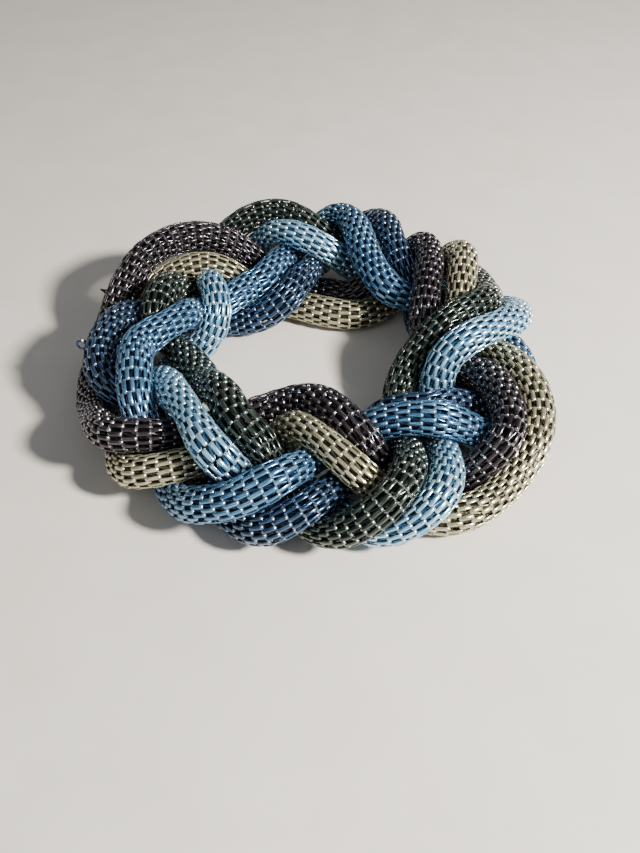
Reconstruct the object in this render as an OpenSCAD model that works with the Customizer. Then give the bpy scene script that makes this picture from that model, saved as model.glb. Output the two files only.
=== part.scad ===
// Braided tube bracelet: three pairs of round coil-mesh tubes in a closed flat braid.
// Every tube is a hollow sleeve on an elastic cord; the cord is closed by a crimp.
// Frame: millimetres, +Z up, the braid lies flat on z = 0 with the wrist opening at the origin.

/* [Tubes] */
// outside diameter of one mesh tube
tube_d = 8.1; // [7:0.1:9]
// thickness of the coil mesh wall
wall = 0.9; // [0.6:0.1:1.2]
// least radius where a sleeve is pressed by its neighbours
pressed_r = 2.7; // [2.6:0.1:3.6]
// gap left between sleeves that touch
skin_gap = 0.1; // [0:0.05:0.4]
// gap between the two butted ends of a sleeve
butt_gap = 0.8; // [0.4:0.1:2]

/* [Braid] */
// outer limit of the tube centre lines, measured from the origin
outer_r = 53.5; // [48:0.5:56]
// inner limit of the tube centre lines
inner_r = 20; // [18:0.5:30]
// centre height of the highest tubes
top_z = 18.5; // [14:0.5:22]
// how far the crossing heights are stretched above the bottom layer
lift = 1.3; // [1:0.05:1.6]
// centre distance that tubes settle to
settle_d = 8.4; // [7.5:0.1:9]

/* [Cords] */
// elastic cord diameter
cord_d = 3; // [2:0.1:3.4]
// crimp outside diameter
crimp_d = 4.6; // [4:0.1:5]
// crimp length
crimp_len = 5; // [3:0.5:8]
// loose wire end thickness
wire_d = 0.5; // [0.5:0.1:1]

/* [Hidden] */

N = 108;            // points along each tube while it settles
REACH = 15;         // pairs of points nearer than this may touch
WINDOW = 9;         // and no further apart along the braid
ROUNDS = 100;       // settling rounds
FINISH = 2;         // smoothing rounds at the end
RINGS = 76;         // rings of a sleeve
SIDES = 8;          // sides of a sleeve
CORD_RINGS = 48;
CORD_SIDES = 6;
LOW_Z = 4.5;        // resting height used in the route lists
SPREAD = tube_d / 2 + 0.05;

// Routes of the three pairs, clockwise from above: [angle, radius, height, roll].
// Roll 0 puts the first tube of the pair outside, 90 on top, 180 inside.
ROUTE_NAVY_BLUE = [
  [-31, 41, 4.5, 175], [-41, 42, 8, 160], [-50, 42, 11, 155], [-57, 37.5, 11.5, 160],
  [-63, 30, 9, 180], [-73, 25.5, 4.5, 220], [-82, 31, 6.5, 325], [-88, 39, 10, 350],
  [-94, 46.5, 11.5, 345], [-101, 50.5, 9, 310], [-108, 50.5, 7.5, 275], [-117, 46.5, 5, 235],
  [-128, 42.5, 4.5, 215], [-140, 43.5, 4.5, 230], [-150, 47.5, 6, 290], [-158, 50, 10, 330],
  [-168, 49.5, 13, 350], [-180, 44.5, 14.5, 360], [-191, 41.5, 12.5, 360], [-201, 40, 11, 360],
  [-211, 38, 8.5, 335], [-220, 35, 4.5, 270], [-229, 31, 6, 205], [-238, 26.5, 9, 185],
  [-247, 26.5, 10, 180], [-255, 31.5, 9, 180], [-262, 39, 6, 200], [-269, 47.5, 8, 270],
  [-275, 52.5, 13.5, 340], [-281, 53, 16, 365], [-287, 49, 16, 365], [-294, 43.5, 16, 360],
  [-301, 39.5, 15.5, 360], [-308, 35.5, 11, 355], [-314, 32.5, 8, 330], [-320, 31.5, 7.5, 270],
  [-328, 33.5, 5.5, 205], [-338, 39, 4.5, 180], [-352, 43, 4.5, 180], [-376, 42.5, 4.5, 180]
];
ROUTE_GREEN_SKY = [
  [-3, 31, 12.5, 180], [-10, 25.5, 9.5, 180], [-20, 24, 6.5, 180], [-32, 26, 4.5, 180],
  [-44, 31, 4.5, 180], [-52, 37, 4.5, 180], [-57, 43, 8.5, 180], [-62, 48.5, 12, 175],
  [-67, 52.5, 11.5, 140], [-73, 54, 9.5, 80], [-78, 53, 8, 40], [-83, 49, 6, 15],
  [-88, 42.5, 4.5, 0], [-93, 38, 4.5, 15], [-98, 35.5, 6.5, 75], [-103, 35.5, 7.5, 150],
  [-109, 37.5, 9, 185], [-117, 41.5, 14, 180], [-126, 41, 15, 180], [-137, 37.5, 12, 180],
  [-150, 35, 10.5, 180], [-163, 35, 9, 175], [-174, 37.5, 8.5, 150], [-184, 38.5, 8.5, 105],
  [-194, 37, 9.5, 55], [-203, 35, 11.5, 20], [-211, 37, 11.5, 5], [-219, 41, 8, 0],
  [-227, 46.5, 4.5, 5], [-236, 51, 5.5, 15], [-245, 53, 11, 10], [-254, 51.5, 12.5, 15],
  [-262, 45, 13.5, 20], [-270, 40, 8.5, 15], [-278, 39, 4.5, 0], [-287, 43, 4.5, 0],
  [-298, 48.5, 4.5, 10], [-312, 48, 4.5, 50], [-327, 45, 6, 125], [-343, 45, 11.5, 175]
];
ROUTE_BRONZE_GOLD = [
  [-9, 40.5, 10, 175], [-17, 45.5, 10.5, 180], [-28, 49.5, 10, 180], [-41, 51.5, 8.5, 180],
  [-55, 49.5, 5, 180], [-66, 46.5, 4.5, 180], [-73, 46.5, 6, 180], [-78, 46, 10, 180],
  [-84, 41, 13.5, 180], [-90, 33, 13, 180], [-98, 27, 11, 165], [-108, 24.5, 9, 150],
  [-117, 26, 5.5, 160], [-122, 33, 5, 170], [-127, 42.5, 10, 165], [-132, 49.5, 12, 145],
  [-140, 53.5, 8.5, 110], [-151, 53, 4.5, 45], [-163, 50.5, 4.5, 10], [-180, 48.5, 4.5, 0],
  [-194, 50, 6, 5], [-204, 51, 10, 20], [-213, 51, 13, 35], [-223, 50, 13, 40],
  [-233, 47.5, 11.5, 35], [-243, 44.5, 7.5, 30], [-253, 40, 4.5, 15], [-265, 33, 4.5, 0],
  [-279, 29, 4.5, 0], [-290, 29, 4.5, 0], [-297, 33, 4.5, 5], [-301, 40, 6, 20],
  [-305, 46.5, 11, 60], [-310, 50.5, 14.5, 120], [-316, 48, 15, 165], [-323, 42.5, 14.5, 180],
  [-331, 37, 12, 175], [-343, 32.5, 4.5, 165], [-355, 34.5, 5.5, 170]
];

// ---- small helpers
function unit(v) = v / norm(v);
function clamp(x, lo, hi) = min(max(x, lo), hi);
function total(v) = len(v) == 0 ? [0, 0, 0] : [for (x = v) 1] * v;
function wrap(i, n) = (i % n + n) % n;

// ---- a pair's route, smooth through its list
function knot(r, k) =
  let (n = len(r), s = r[wrap(k, n)])
  [-s[0] + 360 * floor(k / n), s[1], LOW_Z + (s[2] - LOW_Z) * lift, s[3]];
function slope(r, k) =
  let (a = knot(r, k - 1), b = knot(r, k + 1))
  (b - a) / (b[0] - a[0]);
function route_at(r, a) =
  let (
    t0 = knot(r, 0)[0],
    q = wrap_angle(a - t0) + t0,
    k = len([for (s = r) if (-s[0] <= q) 1]) - 1,
    p = knot(r, k),
    e = knot(r, k + 1),
    h = e[0] - p[0],
    s = (q - p[0]) / h
  )
  p * (2 * s^3 - 3 * s^2 + 1) + slope(r, k) * h * (s^3 - 2 * s^2 + s)
  + e * (-2 * s^3 + 3 * s^2) + slope(r, k + 1) * h * (s^3 - s^2);
function wrap_angle(a) = a - 360 * floor(a / 360);

function pair_centres(r) = [
  for (i = [0 : N - 1])
    let (a = 360 * i / N, v = route_at(r, a))
    [v[1] * cos(-a), v[1] * sin(-a), v[2], v[3]]
];
function pair_tube(c, side) = [
  for (i = [0 : N - 1])
    let (
      p = c[i],
      a = c[wrap(i - 1, N)],
      b = c[wrap(i + 1, N)],
      t = unit([b.x - a.x, b.y - a.y, b.z - a.z]),
      out = unit(cross([0, 0, 1], t)),
      up = cross(t, out)
    )
    [p.x, p.y, p.z] + side * SPREAD * (cos(p[3]) * out + sin(p[3]) * up)
];

// ---- settling: crowded tubes push each other apart, then smooth out
START = [
  for (r = [ROUTE_NAVY_BLUE, ROUTE_GREEN_SKY, ROUTE_BRONZE_GOLD])
    let (c = pair_centres(r))
    for (side = [1, -1]) pair_tube(c, side)
];
NEAR = [
  for (t = [0 : 5]) [
    for (i = [0 : N - 1]) [
      for (u = [0 : 5])
        if (u != t)
          for (k = [-WINDOW : WINDOW])
            let (j = wrap(i + k, N))
            if (norm(START[t][i] - START[u][j]) < REACH) [u, j]
    ]
  ]
];
function bounded(q) =
  let (r = norm([q.x, q.y]), s = clamp(r, inner_r, outer_r) / r)
  [q.x * s, q.y * s, clamp(q.z, tube_d / 2, top_z)];
function moved(P, t, i) =
  let (
    p = P[t][i],
    near2 = P[t][wrap(i - 1, N)] + P[t][wrap(i + 1, N)],
    far2 = P[t][wrap(i - 2, N)] + P[t][wrap(i + 2, N)],
    push = total([
      for (c = NEAR[t][i])
        let (r = p - P[c[0]][c[1]], d = norm(r))
        if (d < settle_d) r * (settle_d / d - 1)
    ])
  )
  p + 0.3 * push + 0.3 * ((4 * near2 - far2) / 6 - p) + 0.2 * (near2 / 2 - p)
  + 0.02 * (START[t][i] - p);
function settle(P, k) = k == 0 ? P : settle(
  [for (t = [0 : 5]) [for (i = [0 : N - 1]) bounded(moved(P, t, i))]],
  k - 1
);
function smooth(P, k) = k == 0 ? P : smooth(
  [
    for (t = [0 : 5]) [
      for (i = [0 : N - 1])
        0.6 * P[t][i] + 0.2 * (P[t][wrap(i - 1, N)] + P[t][wrap(i + 1, N)])
    ]
  ],
  k - 1
);
LOOSE = smooth(settle(START, ROUNDS), FINISH);
XS = [for (t = LOOSE) for (p = t) p.x];
YS = [for (t = LOOSE) for (p = t) p.y];
CENTRE = [(min(XS) + max(XS)) / 2, (min(YS) + max(YS)) / 2, 0];
LINES = [for (t = LOOSE) [for (p = t) p - CENTRE]];

// radius of a sleeve at each point: full, or half way to the nearest neighbour
PRESSED = [
  for (t = [0 : 5]) [
    for (i = [0 : N - 1])
      let (
        d = min([
          for (c = NEAR[t][i])
            let (a = LINES[c[0]][c[1]], b = LINES[c[0]][wrap(c[1] + 1, N)])
            gap_to(LINES[t][i], a, b)
        ])
      )
      clamp((d - skin_gap) / 2, pressed_r, tube_d / 2)
  ]
];
function gap_to(p, a, b) =
  let (s = clamp((p - a) * (b - a) / ((b - a) * (b - a)), 0, 1))
  norm(p - a - s * (b - a));
RADII = [
  for (t = [0 : 5]) [
    for (i = [0 : N - 1])
      (PRESSED[t][wrap(i - 1, N)] + 2 * PRESSED[t][i] + PRESSED[t][wrap(i + 1, N)]) / 4
  ]
];

// ---- points between the settled ones
function blend(v, x) =
  let (
    i = floor(x),
    s = x - i,
    a = v[wrap(i - 1, N)],
    b = v[wrap(i, N)],
    c = v[wrap(i + 1, N)],
    d = v[wrap(i + 2, N)]
  )
  (2 * b + (c - a) * s + (2 * a - 5 * b + 4 * c - d) * s^2 + (3 * b - a - 3 * c + d) * s^3) / 2;
function heading(t, x) = unit(blend(LINES[t], x + 0.3) - blend(LINES[t], x - 0.3));
function across(t, x) = unit(cross([0, 0, 1], heading(t, x)));
function ring(t, x, r, sides) =
  let (c = blend(LINES[t], x), u = across(t, x), v = cross(heading(t, x), u))
  [for (k = [0 : sides - 1]) c + r * (cos(360 * k / sides) * u + sin(360 * k / sides) * v)];

// ---- sweeps
module closed_sweep(t, r) {
  pts = [for (i = [0 : CORD_RINGS - 1]) each ring(t, i * N / CORD_RINGS, r, CORD_SIDES)];
  faces = [
    for (i = [0 : CORD_RINGS - 1])
      for (k = [0 : CORD_SIDES - 1])
        let (
          a = i * CORD_SIDES + k,
          b = i * CORD_SIDES + (k + 1) % CORD_SIDES,
          c = ((i + 1) % CORD_RINGS) * CORD_SIDES + (k + 1) % CORD_SIDES,
          d = ((i + 1) % CORD_RINGS) * CORD_SIDES + k
        )
        each [[a, b, c], [a, c, d]]
  ];
  polyhedron(pts, faces);
}

module hollow_sweep(t, start) {
  length = N - butt_gap / 3;
  step = length / (RINGS - 1);
  outer = [
    for (i = [0 : RINGS - 1])
      let (x = start + i * step)
      each ring(t, x, blend(RADII[t], x), SIDES)
  ];
  inner = [
    for (i = [0 : RINGS - 1])
      let (x = start + i * step)
      each ring(t, x, blend(RADII[t], x) - wall, SIDES)
  ];
  m = RINGS * SIDES;
  wall_faces = [
    for (i = [0 : RINGS - 2])
      for (k = [0 : SIDES - 1])
        let (a = i * SIDES + k, b = i * SIDES + (k + 1) % SIDES, c = b + SIDES, d = a + SIDES)
        each [[a, b, c], [a, c, d], [m + a, m + c, m + b], [m + a, m + d, m + c]]
  ];
  end_faces = [
    for (k = [0 : SIDES - 1])
      let (a = k, b = (k + 1) % SIDES, c = m - SIDES + k, d = m - SIDES + (k + 1) % SIDES)
      each [[a, m + a, m + b], [a, m + b, b], [c, d, m + d], [c, m + d, m + c]]
  ];
  polyhedron(concat(outer, inner), concat(wall_faces, end_faces));
}

module wire_sweep(path, ref, r) {
  n = len(path);
  sides = 6;
  pts = [
    for (i = [0 : n - 1])
      let (
        h = unit(path[min(i + 1, n - 1)] - path[max(i - 1, 0)]),
        u = unit(cross(ref, h)),
        v = cross(h, u)
      )
      for (k = [0 : sides - 1]) path[i] + r * (cos(60 * k) * u + sin(60 * k) * v)
  ];
  faces = [
    for (i = [0 : n - 2])
      for (k = [0 : sides - 1])
        let (a = i * sides + k, b = i * sides + (k + 1) % sides, c = b + sides, d = a + sides)
        each [[a, b, c], [a, c, d]]
  ];
  caps = [
    [for (k = [sides - 1 : -1 : 0]) k],
    [for (k = [0 : sides - 1]) (n - 1) * sides + k]
  ];
  polyhedron(pts, concat(faces, caps));
}

// where each tube's two ends meet, counted in points along it
NAVY_END = 52;
BLUE_END = 2;
GREEN_END = 47;
SKY_END = 50;
BRONZE_END = 61;
GOLD_END = 54;

// short metal crimp round the cord, inside the butted ends of the sleeve
module crimp(t, x) {
  h = heading(t, x);
  translate(blend(LINES[t], x))
    rotate([0, acos(h.z), atan2(h.y, h.x)])
      difference() {
        cylinder(h = crimp_len, d = crimp_d, center = true, $fn = 24);
        cylinder(h = crimp_len + 1, d = cord_d + 0.6, center = true, $fn = 24);
      }
}

// loose end of the mesh wire, out through the butt gap and curled once
module wire_end(t, x, curl, drift) {
  h = heading(t, x);
  u = across(t, x);
  v = cross(h, u);
  c = blend(LINES[t], x);
  reach = tube_d / 2 + 0.7;
  stem = [for (s = [0 : 3]) c + (2.7 + (reach - 2.7) * s / 3) * u];
  loop = [
    for (a = [-70 : 20 : 250])
      c + (reach + curl * cos(a)) * u + curl * (1 + sin(a)) * v + drift * (a + 90) / 360 * h
  ];
  wire_sweep(concat(stem, loop), h, wire_d / 2);
}

module sleeve_navy() { color("#1f2b52") hollow_sweep(0, NAVY_END); }
module sleeve_blue() { color("#3c6ea5") hollow_sweep(1, BLUE_END); }
module sleeve_green() { color("#35443a") hollow_sweep(2, GREEN_END); }
module sleeve_sky() { color("#8fc4dc") hollow_sweep(3, SKY_END); }
module sleeve_bronze() { color("#4a3f44") hollow_sweep(4, BRONZE_END); }
module sleeve_gold() { color("#a99f7c") hollow_sweep(5, GOLD_END); }

module cord_navy() { color("#202226") closed_sweep(0, cord_d / 2); }
module cord_blue() { color("#202226") closed_sweep(1, cord_d / 2); }
module cord_green() { color("#202226") closed_sweep(2, cord_d / 2); }
module cord_sky() { color("#202226") closed_sweep(3, cord_d / 2); }
module cord_bronze() { color("#202226") closed_sweep(4, cord_d / 2); }
module cord_gold() { color("#202226") closed_sweep(5, cord_d / 2); }

module crimp_navy() { color("#b8bcc2") crimp(0, NAVY_END); }
module crimp_blue() { color("#b8bcc2") crimp(1, BLUE_END); }
module crimp_green() { color("#b8bcc2") crimp(2, GREEN_END); }
module crimp_sky() { color("#b8bcc2") crimp(3, SKY_END); }
module crimp_bronze() { color("#b8bcc2") crimp(4, BRONZE_END); }
module crimp_gold() { color("#b8bcc2") crimp(5, GOLD_END); }

module wire_end_navy() { color("#1f2b52") wire_end(0, NAVY_END - butt_gap / 6, 0.9, 1.6); }
module wire_end_bronze() { color("#4a3f44") wire_end(4, BRONZE_END - butt_gap / 6, 0.8, -1.4); }

sleeve_navy();
sleeve_blue();
sleeve_green();
sleeve_sky();
sleeve_bronze();
sleeve_gold();
cord_navy();
cord_blue();
cord_green();
cord_sky();
cord_bronze();
cord_gold();
crimp_navy();
crimp_blue();
crimp_green();
crimp_sky();
crimp_bronze();
crimp_gold();
wire_end_navy();
wire_end_bronze();
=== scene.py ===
"""Looks of a closed braided bracelet: six coil-mesh tubes in three pairs, each on an elastic cord."""

import math

import bpy
import numpy as np
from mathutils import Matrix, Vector


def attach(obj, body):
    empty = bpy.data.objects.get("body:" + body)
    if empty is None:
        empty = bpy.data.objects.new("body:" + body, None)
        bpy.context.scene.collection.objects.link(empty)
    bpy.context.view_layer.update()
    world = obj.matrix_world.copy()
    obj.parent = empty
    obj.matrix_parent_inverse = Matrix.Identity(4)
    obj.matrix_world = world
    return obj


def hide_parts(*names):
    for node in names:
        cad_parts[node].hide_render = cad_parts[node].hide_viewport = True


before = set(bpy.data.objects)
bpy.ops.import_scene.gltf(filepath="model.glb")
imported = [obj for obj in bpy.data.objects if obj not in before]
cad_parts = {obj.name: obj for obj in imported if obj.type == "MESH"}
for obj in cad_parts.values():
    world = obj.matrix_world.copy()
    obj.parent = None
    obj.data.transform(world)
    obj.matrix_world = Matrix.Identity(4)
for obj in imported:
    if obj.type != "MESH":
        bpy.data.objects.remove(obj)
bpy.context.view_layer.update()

MM = 0.001
NAMES = ("navy", "blue", "green", "sky", "bronze", "gold")

# ---------------------------------------------------------------- tubes, in millimetres as designed
TUBE_D = 8.1
PRESSED_R = 3.2       # least radius at a point where neighbours press on the tube
SKIN_GAP = 0.1
SEAM = 0.1            # what still shows of the joint, once the two mesh ends are pushed together
OUTER_R, INNER_R = 53.5, 20
TOP_Z = 18.5
LIFT, LOW_Z = 1.3, 4.5
SETTLE_D = 8.4
CORD_R = 1.5
SPREAD = TUBE_D / 2 + 0.05
POINTS, REACH, WINDOW, ROUNDS, FINISH = 108, 15, 9, 100, 2
PUSH, FAIR, EVEN, HOME = 0.3, 0.3, 0.2, 0.02     # shares of each pull in one settling round
ENDS = (52, 2, 47, 50, 61, 54)     # the point of each tube where its two ends meet

# Routes of the three pairs, clockwise from above: angle, radius, height, roll.
ROUTE_NAVY_BLUE = [
    (-31, 41, 4.5, 175), (-41, 42, 8, 160), (-50, 42, 11, 155), (-57, 37.5, 11.5, 160),
    (-63, 30, 9, 180), (-73, 25.5, 4.5, 220), (-82, 31, 6.5, 325), (-88, 39, 10, 350),
    (-94, 46.5, 11.5, 345), (-101, 50.5, 9, 310), (-108, 50.5, 7.5, 275), (-117, 46.5, 5, 235),
    (-128, 42.5, 4.5, 215), (-140, 43.5, 4.5, 230), (-150, 47.5, 6, 290), (-158, 50, 10, 330),
    (-168, 49.5, 13, 350), (-180, 44.5, 14.5, 360), (-191, 41.5, 12.5, 360), (-201, 40, 11, 360),
    (-211, 38, 8.5, 335), (-220, 35, 4.5, 270), (-229, 31, 6, 205), (-238, 26.5, 9, 185),
    (-247, 26.5, 10, 180), (-255, 31.5, 9, 180), (-262, 39, 6, 200), (-269, 47.5, 8, 270),
    (-275, 52.5, 13.5, 340), (-281, 53, 16, 365), (-287, 49, 16, 365), (-294, 43.5, 16, 360),
    (-301, 39.5, 15.5, 360), (-308, 35.5, 11, 355), (-314, 32.5, 8, 330), (-320, 31.5, 7.5, 270),
    (-328, 33.5, 5.5, 205), (-338, 39, 4.5, 180), (-352, 43, 4.5, 180), (-376, 42.5, 4.5, 180),
]
ROUTE_GREEN_SKY = [
    (-3, 31, 12.5, 180), (-10, 25.5, 9.5, 180), (-20, 24, 6.5, 180), (-32, 26, 4.5, 180),
    (-44, 31, 4.5, 180), (-52, 37, 4.5, 180), (-57, 43, 8.5, 180), (-62, 48.5, 12, 175),
    (-67, 52.5, 11.5, 140), (-73, 54, 9.5, 80), (-78, 53, 8, 40), (-83, 49, 6, 15),
    (-88, 42.5, 4.5, 0), (-93, 38, 4.5, 15), (-98, 35.5, 6.5, 75), (-103, 35.5, 7.5, 150),
    (-109, 37.5, 9, 185), (-117, 41.5, 14, 180), (-126, 41, 15, 180), (-137, 37.5, 12, 180),
    (-150, 35, 10.5, 180), (-163, 35, 9, 175), (-174, 37.5, 8.5, 150), (-184, 38.5, 8.5, 105),
    (-194, 37, 9.5, 55), (-203, 35, 11.5, 20), (-211, 37, 11.5, 5), (-219, 41, 8, 0),
    (-227, 46.5, 4.5, 5), (-236, 51, 5.5, 15), (-245, 53, 11, 10), (-254, 51.5, 12.5, 15),
    (-262, 45, 13.5, 20), (-270, 40, 8.5, 15), (-278, 39, 4.5, 0), (-287, 43, 4.5, 0),
    (-298, 48.5, 4.5, 10), (-312, 48, 4.5, 50), (-327, 45, 6, 125), (-343, 45, 11.5, 175),
]
ROUTE_BRONZE_GOLD = [
    (-9, 40.5, 10, 175), (-17, 45.5, 10.5, 180), (-28, 49.5, 10, 180), (-41, 51.5, 8.5, 180),
    (-55, 49.5, 5, 180), (-66, 46.5, 4.5, 180), (-73, 46.5, 6, 180), (-78, 46, 10, 180),
    (-84, 41, 13.5, 180), (-90, 33, 13, 180), (-98, 27, 11, 165), (-108, 24.5, 9, 150),
    (-117, 26, 5.5, 160), (-122, 33, 5, 170), (-127, 42.5, 10, 165), (-132, 49.5, 12, 145),
    (-140, 53.5, 8.5, 110), (-151, 53, 4.5, 45), (-163, 50.5, 4.5, 10), (-180, 48.5, 4.5, 0),
    (-194, 50, 6, 5), (-204, 51, 10, 20), (-213, 51, 13, 35), (-223, 50, 13, 40),
    (-233, 47.5, 11.5, 35), (-243, 44.5, 7.5, 30), (-253, 40, 4.5, 15), (-265, 33, 4.5, 0),
    (-279, 29, 4.5, 0), (-290, 29, 4.5, 0), (-297, 33, 4.5, 5), (-301, 40, 6, 20),
    (-305, 46.5, 11, 60), (-310, 50.5, 14.5, 120), (-316, 48, 15, 165), (-323, 42.5, 14.5, 180),
    (-331, 37, 12, 175), (-343, 32.5, 4.5, 165), (-355, 34.5, 5.5, 170),
]


def unit(v):
    return v / np.linalg.norm(v, axis=-1, keepdims=True)


def pair_tubes(route):
    """The two tubes of a pair, side by side along their shared route, as POINTS by 3 arrays."""
    route = np.array(route, float)
    n = len(route)

    def knot(k):
        a, r, z, roll = route[k % n]
        return np.array([-a + 360 * (k // n), r, LOW_Z + (z - LOW_Z) * LIFT, roll])

    knots = np.array([knot(k) for k in range(-1, n + 2)])
    slopes = (knots[2:] - knots[:-2]) / (knots[2:, :1] - knots[:-2, :1])
    angle = 360.0 * np.arange(POINTS) / POINTS
    first = knots[1, 0]
    query = (angle - first) % 360 + first
    k = np.searchsorted(knots[1:n + 1, 0], query, side="right") - 1
    p, e = knots[1:][k], knots[2:][k]
    h = (e[:, 0] - p[:, 0])[:, None]
    s = (query - p[:, 0])[:, None] / h
    v = p * (2 * s**3 - 3 * s**2 + 1) + slopes[k] * h * (s**3 - 2 * s**2 + s)
    v = v + e * (3 * s**2 - 2 * s**3) + slopes[k + 1] * h * (s**3 - s**2)
    a = np.radians(-angle)
    centre = np.stack([v[:, 1] * np.cos(a), v[:, 1] * np.sin(a), v[:, 2]], 1)
    along = unit(np.roll(centre, -1, 0) - np.roll(centre, 1, 0))
    out = unit(np.cross([0, 0, 1], along))
    up = np.cross(along, out)
    roll = np.radians(v[:, 3])[:, None]
    side = SPREAD * (np.cos(roll) * out + np.sin(roll) * up)
    return [centre + side, centre - side]


def near_pairs(tubes):
    """Index pairs of points on different tubes that may touch, into the tubes' flattened points."""
    i = np.arange(POINTS)
    first, second = [], []
    for t in range(len(tubes)):
        for u in range(len(tubes)):
            for k in range(-WINDOW, WINDOW + 1):
                j = (i + k) % POINTS
                close = np.linalg.norm(tubes[t] - tubes[u][j], axis=1) < REACH
                if u != t:
                    first.append(t * POINTS + i[close])
                    second.append(u * POINTS + j[close])
    return np.concatenate(first), np.concatenate(second)


def around(p, k):
    """Sum of the points k steps before and after, along each closed tube."""
    return np.roll(p, k, 1) + np.roll(p, -k, 1)


def smoothed(p):
    return 0.6 * p + 0.2 * around(p, 1)


def settled_tubes():
    """Centre lines (tube, point, xyz) and radii (tube, point) once crowded tubes have pushed apart."""
    routes = (ROUTE_NAVY_BLUE, ROUTE_GREEN_SKY, ROUTE_BRONZE_GOLD)
    start = np.array([tube for route in routes for tube in pair_tubes(route)])
    first, second = near_pairs(start)
    p = start.copy()
    for _ in range(ROUNDS):
        flat = p.reshape(-1, 3)
        gap = flat[first] - flat[second]
        d = np.linalg.norm(gap, axis=1)[:, None]
        push = np.zeros_like(flat)
        np.add.at(push, first, np.where(d < SETTLE_D, gap * (SETTLE_D / d - 1), 0))
        fair = (4 * around(p, 1) - around(p, 2)) / 6 - p
        even = around(p, 1) / 2 - p
        p = p + PUSH * push.reshape(p.shape) + FAIR * fair + EVEN * even + HOME * (start - p)
        r = np.linalg.norm(p[..., :2], axis=-1, keepdims=True)
        p[..., :2] *= np.clip(r, INNER_R, OUTER_R) / r
        p[..., 2] = np.clip(p[..., 2], TUBE_D / 2, TOP_Z)
    for _ in range(FINISH):
        p = smoothed(p)
    low, high = p.reshape(-1, 3).min(0), p.reshape(-1, 3).max(0)
    p[..., :2] -= ((low + high) / 2)[:2]
    return p, touching_radii(p, first, second)


def touching_radii(p, first, second):
    """Half the distance to the nearest neighbour, where that is less than a free tube's radius."""
    flat = p.reshape(-1, 3)
    ahead = np.roll(p, -1, 1).reshape(-1, 3)
    a, leg = flat[second], ahead[second] - flat[second]
    q = flat[first] - a
    s = np.clip((q * leg).sum(1) / (leg * leg).sum(1), 0, 1)[:, None]
    nearest = np.full(len(flat), 1e9)
    np.minimum.at(nearest, first, np.linalg.norm(q - s * leg, axis=1))
    r = np.clip((nearest - SKIN_GAP) / 2, PRESSED_R, TUBE_D / 2).reshape(p.shape[:2])
    return (around(r, 1) + 2 * r) / 4


# ---------------------------------------------------------------- one tube as a smooth line
DENSE = 12          # dense points for each settled point
SOFTEN = 2          # extra smoothing rounds, as the springy mesh can't kink


class Line:
    """A closed centre line that starts at the tube's butted ends, with a frame that doesn't twist."""

    def __init__(self, points, radii, start):
        points = np.roll(points, -start, 0)
        radii = np.roll(radii, -start)
        for _ in range(SOFTEN):
            points = 0.6 * points + 0.2 * (np.roll(points, 1, 0) + np.roll(points, -1, 0))
        count = DENSE * len(points)
        p = np.fft.irfft(np.fft.rfft(points, axis=0), count, axis=0) * DENSE
        step = np.linalg.norm(np.roll(p, -1, 0) - p, axis=1)
        self.length = step.sum()
        along = np.concatenate([[0], np.cumsum(step)[:-1]])
        self.grid = np.arange(count) * self.length / count
        wrapped = np.append(along, self.length)
        columns = [np.interp(self.grid, wrapped, np.append(x, x[0])) for x in p.T]
        self.p = np.stack(columns, 1)
        share = np.interp(self.grid, wrapped, np.append(np.arange(count), count)) / DENSE
        self.r = np.interp(share, np.arange(len(radii) + 1), np.append(radii, radii[0]))
        self.t = unit(np.roll(self.p, -1, 0) - np.roll(self.p, 1, 0))
        self.u = self.untwisted()

    def untwisted(self):
        """Side directions carried along with no twist, then turned evenly so that the ends meet."""
        u = np.zeros_like(self.p)
        u[0] = unit(np.cross([0, 0, 1], self.t[0]))
        for i in range(1, len(u)):
            u[i] = unit(u[i - 1] - (u[i - 1] @ self.t[i]) * self.t[i])
        last = unit(u[-1] - (u[-1] @ self.t[0]) * self.t[0])
        short = math.atan2(np.cross(last, u[0]) @ self.t[0], last @ u[0])
        column = 2 * math.pi / TURNS
        short = (short + column / 2) % column - column / 2
        turn = (short * self.grid / self.length)[:, None]
        return np.cos(turn) * u + np.sin(turn) * np.cross(self.t, u)

    def at(self, s):
        """Point, direction, side, second side and radius at distances s along the line."""
        s = np.asarray(s) % self.length

        def read(values):
            return np.interp(s, np.append(self.grid, self.length), np.append(values, values[0]))

        p, t, u = (np.stack([read(v[:, c]) for c in range(3)], -1) for v in (self.p, self.t, self.u))
        t = unit(t)
        u = unit(u - (u * t).sum(-1, keepdims=True) * t)
        return p, t, u, np.cross(t, u), read(self.r)


# ---------------------------------------------------------------- coil mesh
TURNS = 12            # turns of flat wire in one row, so 24 columns show round the tube
ROW_PITCH = 2.15
COIL_HALF = 1.28      # half the coil's length along the tube
COIL_DEPTH = 0.8      # from its outer wire to its inner wire
WIRE_W, WIRE_T = 0.94, 0.24
CROWN = 0.06          # how far the wire's middle stands above its edges
STEPS = 10            # rings of the wire in one turn
SQUARE = 0.45         # below 1 makes the turn a rounded rectangle
WOBBLE = 0.05         # how much each turn's height (in mm) and length (as a share) vary
TILT = 0.11           # spread of each turn's own roll in radians, so neighbours catch the light apart


def turn_shape():
    """One turn of the coil: distance along the tube, depth below the skin, share of the way round it."""
    phase = np.radians(np.array([18, 62, 90, 118, 162, 198, 234, 270, 306, 342]))
    c, s = np.cos(phase), np.sin(phase)
    along = COIL_HALF * np.sign(c) * np.abs(c) ** SQUARE
    depth = COIL_DEPTH / 2 * (1 - np.sign(s) * np.abs(s) ** SQUARE)
    back = np.clip((np.degrees(phase) - 180) / 180, 0, 1)
    return along, depth, back * back * (3 - 2 * back)


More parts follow.
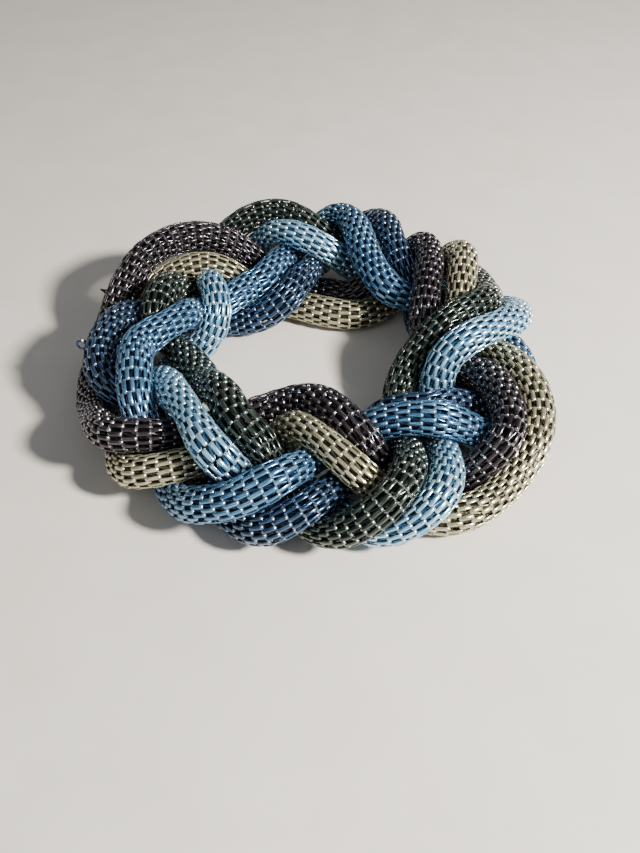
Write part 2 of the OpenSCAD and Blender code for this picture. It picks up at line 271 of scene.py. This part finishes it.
def coil_rows(line, seed):
    """Vertices, quads and per-vertex attributes of every coil row of one tube."""
    rng = np.random.default_rng(seed)
    rows = int(round(line.length / ROW_PITCH / 2)) * 2
    pitch = (line.length - SEAM) / rows
    centre = SEAM / 2 + pitch * (np.arange(rows) + 0.5)
    along, depth, share = turn_shape()
    row = np.arange(rows)[:, None, None]
    turn = np.arange(TURNS)[None, :, None]
    angle = 2 * math.pi * (turn + (row % 2) / 2 + share) / TURNS
    angle = angle + rng.normal(0, 0.012, (rows, TURNS, 1))
    lift = rng.uniform(-WOBBLE, WOBBLE, (rows, TURNS, 1)) * (share[None, None, :] == 0)
    reach = 1 + rng.uniform(-WOBBLE, WOBBLE, (rows, TURNS, 1))

    def skin(offset):
        p, _, u, v, r = line.at(centre + offset)
        r = (r[:, None, None] - WIRE_T / 2 - CROWN - depth + lift)[..., None]
        u, v, p = (x[:, None, None, :] for x in (u, v, p))
        return p + r * (np.cos(angle)[..., None] * u + np.sin(angle)[..., None] * v)

    middle, ahead, behind = skin(0), skin(0.5), skin(-0.5)
    stretch = np.linalg.norm(ahead - behind, axis=-1, keepdims=True)
    way = (ahead - behind) / np.maximum(stretch, 1e-6)
    half = along * reach * np.clip(stretch[..., 0], 0.45, 1.2) * pitch / ROW_PITCH
    path = (middle + half[..., None] * way).reshape(rows, TURNS * STEPS, 3)

    p, _, u, v, r = line.at(centre)
    ring = angle.reshape(rows, -1)[..., None]
    core_r = (r - COIL_DEPTH / 2 - WIRE_T / 2 - CROWN)[:, None, None]
    core = p[:, None] + core_r * (np.cos(ring) * u[:, None] + np.sin(ring) * v[:, None])
    heading = unit(np.roll(path, -1, 1) - np.roll(path, 1, 1))
    wide = unit(np.cross(heading, path - core))
    up = np.cross(wide, heading)
    tilt = np.repeat(rng.normal(0, TILT, (rows, TURNS)), STEPS, 1)[..., None]
    wide, up = np.cos(tilt) * wide + np.sin(tilt) * up, np.cos(tilt) * up - np.sin(tilt) * wide
    size = (r / (TUBE_D / 2))[:, None, None]
    half_w, half_t = WIRE_W / 2 * size, WIRE_T / 2
    section = [(-1, -1, 0), (1, -1, 0), (1, 0.6, 0), (0, 1, CROWN), (-1, 0.6, 0)]
    corners = [path + a * half_w * wide + (b * half_t + c) * up for a, b, c in section]
    verts = np.stack(corners, 2).reshape(-1, 3)

    rings, sides = TURNS * STEPS, len(section)
    i = np.arange(rows)[:, None, None] * rings * sides
    j, k = np.arange(rings)[None, :, None], np.arange(sides)[None, None, :]
    j2, k2 = (j + 1) % rings, (k + 1) % sides
    a, b, c, d = j * sides + k, j * sides + k2, j2 * sides + k2, j2 * sides + k
    quads = np.stack([i + a, i + b, i + c, i + d], -1)
    tint = np.broadcast_to(rng.uniform(0, 1, (rows, TURNS, 1)), (rows, TURNS, STEPS))
    deep = np.broadcast_to(depth / COIL_DEPTH, tint.shape)
    tip = np.broadcast_to(np.abs(along) / COIL_HALF, tint.shape)
    fields = {"tint": tint, "deep": deep, "tip": tip}
    fields = {name: np.repeat(x.reshape(-1), sides) for name, x in fields.items()}
    return verts, quads.reshape(-1, 4), fields


def mesh_object(name, verts, faces, fields=None):
    """A smooth-shaded object from millimetre vertices, with its fields as point attributes."""
    verts, faces = np.asarray(verts, float), np.asarray(faces)
    mesh = bpy.data.meshes.new(name)
    mesh.vertices.add(len(verts))
    mesh.vertices.foreach_set("co", (verts * MM).astype(np.float32).ravel())
    mesh.loops.add(faces.size)
    mesh.loops.foreach_set("vertex_index", faces.astype(np.int32).ravel())
    mesh.polygons.add(len(faces))
    mesh.polygons.foreach_set("loop_start", (np.arange(len(faces)) * faces.shape[1]).astype(np.int32))
    mesh.polygons.foreach_set("use_smooth", np.ones(len(faces), bool))
    mesh.update(calc_edges=True)
    for key, values in (fields or {}).items():
        attribute = mesh.attributes.new(key, "FLOAT", "POINT")
        attribute.data.foreach_set("value", values.astype(np.float32))
    mesh.validate()
    obj = bpy.data.objects.new(name, mesh)
    bpy.context.scene.collection.objects.link(obj)
    return obj


# ---------------------------------------------------------------- materials
class Nodes:
    """Short helpers for one material's node tree."""

    def __init__(self, name):
        self.material = bpy.data.materials.new(name)
        self.material.use_nodes = True
        self.tree = self.material.node_tree
        self.shader = self.tree.nodes["Principled BSDF"]

    def new(self, kind, **settings):
        node = self.tree.nodes.new("ShaderNode" + kind)
        for key, value in settings.items():
            setattr(node, key, value)
        return node

    def link(self, source, target):
        self.tree.links.new(source, target)

    def field(self, name):
        return self.new("Attribute", attribute_name=name, attribute_type="GEOMETRY").outputs["Fac"]

    def noise(self, scale, detail=3.0):
        node = self.new("TexNoise")
        node.inputs["Scale"].default_value = scale
        node.inputs["Detail"].default_value = detail
        coordinates = self.new("TexCoord")
        self.link(coordinates.outputs["Object"], node.inputs["Vector"])
        return node.outputs["Fac"]

    def ramp(self, source, *stops):
        """Colour or grey for a value: stops are (position, colour)."""
        node = self.new("ValToRGB")
        for element, stop in zip(node.color_ramp.elements, (stops[0], stops[-1])):
            element.position, element.color = stop
        for position, colour in stops[1:-1]:
            node.color_ramp.elements.new(position).color = colour
        self.link(source, node.inputs["Fac"])
        return node.outputs["Color"]

    def mix(self, factor, a, b, blend="MIX"):
        node = self.new("Mix", data_type="RGBA", blend_type=blend)
        for value, socket in ((factor, node.inputs[0]), (a, node.inputs[6]), (b, node.inputs[7])):
            if isinstance(value, bpy.types.NodeSocket):
                self.link(value, socket)
            else:
                socket.default_value = value
        return node.outputs[2]

    def bump(self, height, strength, distance):
        node = self.new("Bump")
        node.inputs["Strength"].default_value = strength
        node.inputs["Distance"].default_value = distance
        self.link(height, node.inputs["Height"])
        self.link(node.outputs["Normal"], self.shader.inputs["Normal"])


def grey(value):
    return (value, value, value, 1)


def rgb(*value):
    return (*value, 1)


def wire_material(name, low, high, painted_shade, painted_glint, roughness):
    """Lacquered flat wire: tinted from turn to turn, with painted shade on the coil's deep wires and a
    painted glint speckled over the tips of each turn.
    """
    n = Nodes(name)
    speckle = n.noise(2600, 4)
    cloud = n.noise(90, 2)
    body = n.ramp(n.field("tint"), (0.0, low), (1.0, high))
    body = n.mix(0.35, body, n.ramp(cloud, (0.35, low), (0.65, high)))
    # Painted glint: a speckled near-white colour over the ends of each turn, standing in for light caught by
    # the curved wire.
    tips = n.ramp(n.field("tip"), (0.72, grey(0)), (0.98, grey(1)))
    glint_mask = n.mix(1.0, tips, n.ramp(speckle, (0.42, grey(0.15)), (0.62, grey(0.9))), "MULTIPLY")
    body = n.mix(glint_mask, body, painted_glint)
    # Painted shade: the wires deepest in the coil darken towards the shade colour.
    body = n.mix(n.ramp(n.field("deep"), (0.3, grey(0)), (0.95, grey(1))), body, painted_shade)
    n.link(body, n.shader.inputs["Base Color"])
    rough = n.ramp(speckle, (0.3, grey(roughness - 0.07)), (0.75, grey(roughness + 0.14)))
    n.link(rough, n.shader.inputs["Roughness"])
    n.shader.inputs["Metallic"].default_value = 0.78
    n.shader.inputs["Coat Weight"].default_value = 0.35
    n.shader.inputs["Coat Roughness"].default_value = 0.12
    n.bump(speckle, 0.25, 0.00004)
    return n.material


# darkest turns, lightest turns, painted shade of the coil's deep wires, painted glint at the tips, roughness
WIRE_LOOKS = {
    "navy": (
        rgb(0.018, 0.045, 0.1), rgb(0.055, 0.12, 0.23),
        rgb(0.004, 0.009, 0.022), rgb(0.58, 0.7, 0.84), 0.2,
    ),
    "blue": (
        rgb(0.05, 0.155, 0.32), rgb(0.155, 0.35, 0.55),
        rgb(0.012, 0.04, 0.09), rgb(0.68, 0.84, 0.96), 0.2,
    ),
    "green": (
        rgb(0.014, 0.024, 0.019), rgb(0.07, 0.095, 0.078),
        rgb(0.004, 0.007, 0.005), rgb(0.7, 0.78, 0.7), 0.18,
    ),
    "sky": (
        rgb(0.22, 0.50, 0.74), rgb(0.54, 0.82, 0.98),
        rgb(0.05, 0.15, 0.27), rgb(0.88, 0.97, 1.0), 0.2,
    ),
    "bronze": (
        rgb(0.02, 0.016, 0.02), rgb(0.078, 0.063, 0.074),
        rgb(0.006, 0.005, 0.006), rgb(0.74, 0.7, 0.74), 0.18,
    ),
    "gold": (
        rgb(0.31, 0.285, 0.17), rgb(0.67, 0.62, 0.42),
        rgb(0.07, 0.065, 0.035), rgb(0.98, 0.95, 0.82), 0.2,
    ),
}


def cord_material():
    """Dark rubber elastic with the fine ribs of its spun strands."""
    n = Nodes("cord")
    wave = n.new("TexWave", wave_type="BANDS", bands_direction="DIAGONAL")
    wave.inputs["Scale"].default_value = 900
    wave.inputs["Distortion"].default_value = 3
    coordinates = n.new("TexCoord")
    n.link(coordinates.outputs["Object"], wave.inputs["Vector"])
    n.link(n.ramp(wave.outputs["Fac"], (0.2, grey(0.006)), (0.9, grey(0.02))), n.shader.inputs["Base Color"])
    n.link(n.ramp(n.noise(1500), (0.3, grey(0.6)), (0.7, grey(0.85))), n.shader.inputs["Roughness"])
    n.bump(wave.outputs["Fac"], 0.5, 0.0001)
    return n.material


def crimp_material():
    """Satin steel with turning marks."""
    n = Nodes("crimp")
    grain = n.noise(3000, 5)
    n.link(n.ramp(grain, (0.3, grey(0.4)), (0.7, grey(0.62))), n.shader.inputs["Base Color"])
    n.link(n.ramp(grain, (0.3, grey(0.22)), (0.7, grey(0.42))), n.shader.inputs["Roughness"])
    n.shader.inputs["Metallic"].default_value = 1
    n.bump(grain, 0.2, 0.00005)
    return n.material


def floor_material():
    """Plain pale matt surface."""
    n = Nodes("floor")
    cloud = n.ramp(n.noise(60, 4), (0.3, rgb(0.60, 0.56, 0.51)), (0.7, rgb(0.64, 0.60, 0.55)))
    n.link(cloud, n.shader.inputs["Base Color"])
    n.shader.inputs["Roughness"].default_value = 0.7
    return n.material


# ---------------------------------------------------------------- pieces
def finish_piece(obj, material, node):
    obj.data.materials.append(material)
    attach(obj, "root")
    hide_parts(node)
    return obj


def sleeve(index, line, material):
    name = NAMES[index]
    verts, quads, fields = coil_rows(line, seed=40 + index)
    obj = mesh_object("mesh_sleeve_" + name, verts, quads, fields)
    finish_piece(obj, material, "sleeve_" + name)


CORD_RINGS, CORD_SIDES = 220, 14


def cord(index, line, material):
    """The closed elastic cord that fills the middle of a tube."""
    name = NAMES[index]
    p, _, u, v, _ = line.at(np.arange(CORD_RINGS) * line.length / CORD_RINGS)
    a = 2 * math.pi * np.arange(CORD_SIDES) / CORD_SIDES
    round_it = np.cos(a)[None, :, None] * u[:, None] + np.sin(a)[None, :, None] * v[:, None]
    verts = (p[:, None] + CORD_R * round_it).reshape(-1, 3)
    i, k = np.arange(CORD_RINGS)[:, None], np.arange(CORD_SIDES)[None, :]
    i2, k2 = (i + 1) % CORD_RINGS, (k + 1) % CORD_SIDES
    i, i2 = i * CORD_SIDES, i2 * CORD_SIDES
    quads = np.stack([i + k, i + k2, i2 + k2, i2 + k], -1)
    obj = mesh_object("elastic_cord_" + name, verts, quads.reshape(-1, 4))
    finish_piece(obj, material, "cord_" + name)


def recolour(node, material):
    """Gives a CAD piece its real material."""
    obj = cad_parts[node]
    obj.data.materials.clear()
    obj.data.materials.append(material)


def build_pieces():
    points, radii = settled_tubes()
    cord_look, crimp_look = cord_material(), crimp_material()
    for index, name in enumerate(NAMES):
        line = Line(points[index], radii[index], ENDS[index])
        look = wire_material("mesh_" + name, *WIRE_LOOKS[name])
        sleeve(index, line, look)
        cord(index, line, cord_look)
        recolour("crimp_" + name, crimp_look)
        if "wire_end_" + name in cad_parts:
            recolour("wire_end_" + name, look)


# ---------------------------------------------------------------- set
def area_light(name, place, target, size, power, colour):
    data = bpy.data.lights.new(name, "AREA")
    data.shape = "DISK"
    data.size, data.energy, data.color = size, power, colour
    light = bpy.data.objects.new(name, data)
    light.location = place
    light.rotation_euler = (Vector(target) - Vector(place)).to_track_quat("-Z", "Y").to_euler()
    bpy.context.scene.collection.objects.link(light)


def build_set():
    bpy.ops.mesh.primitive_plane_add(size=4, location=(0, 0, 0))
    floor = bpy.context.object
    floor.name = "floor"
    floor.data.materials.append(floor_material())

    centre = (0, 0, 0.01)
    area_light("key", (0.38, -0.22, 0.33), centre, 0.07, 11.5, (1.0, 0.97, 0.92))
    area_light("fill", (-0.3, -0.45, 0.5), centre, 0.5, 0.8, (0.92, 0.96, 1.0))
    area_light("rim", (0.25, 0.5, 0.4), centre, 0.3, 0.4, (1.0, 1.0, 1.0))

    world = bpy.data.worlds.new("soft room")
    world.use_nodes = True
    background = world.node_tree.nodes["Background"]
    background.inputs["Color"].default_value = (0.86, 0.9, 0.95, 1)
    background.inputs["Strength"].default_value = 0.21
    bpy.context.scene.world = world

    data = bpy.data.cameras.new("camera")
    data.lens, data.sensor_width = 35, 36
    data.clip_start, data.clip_end = 0.01, 10
    camera = bpy.data.objects.new("camera", data)
    camera.location = (0.0019, -0.1508, 0.136)
    camera.rotation_euler = (math.radians(90 - 44.9), 0, math.radians(-0.14))
    bpy.context.scene.collection.objects.link(camera)
    bpy.context.scene.camera = camera


build_set()
build_pieces()
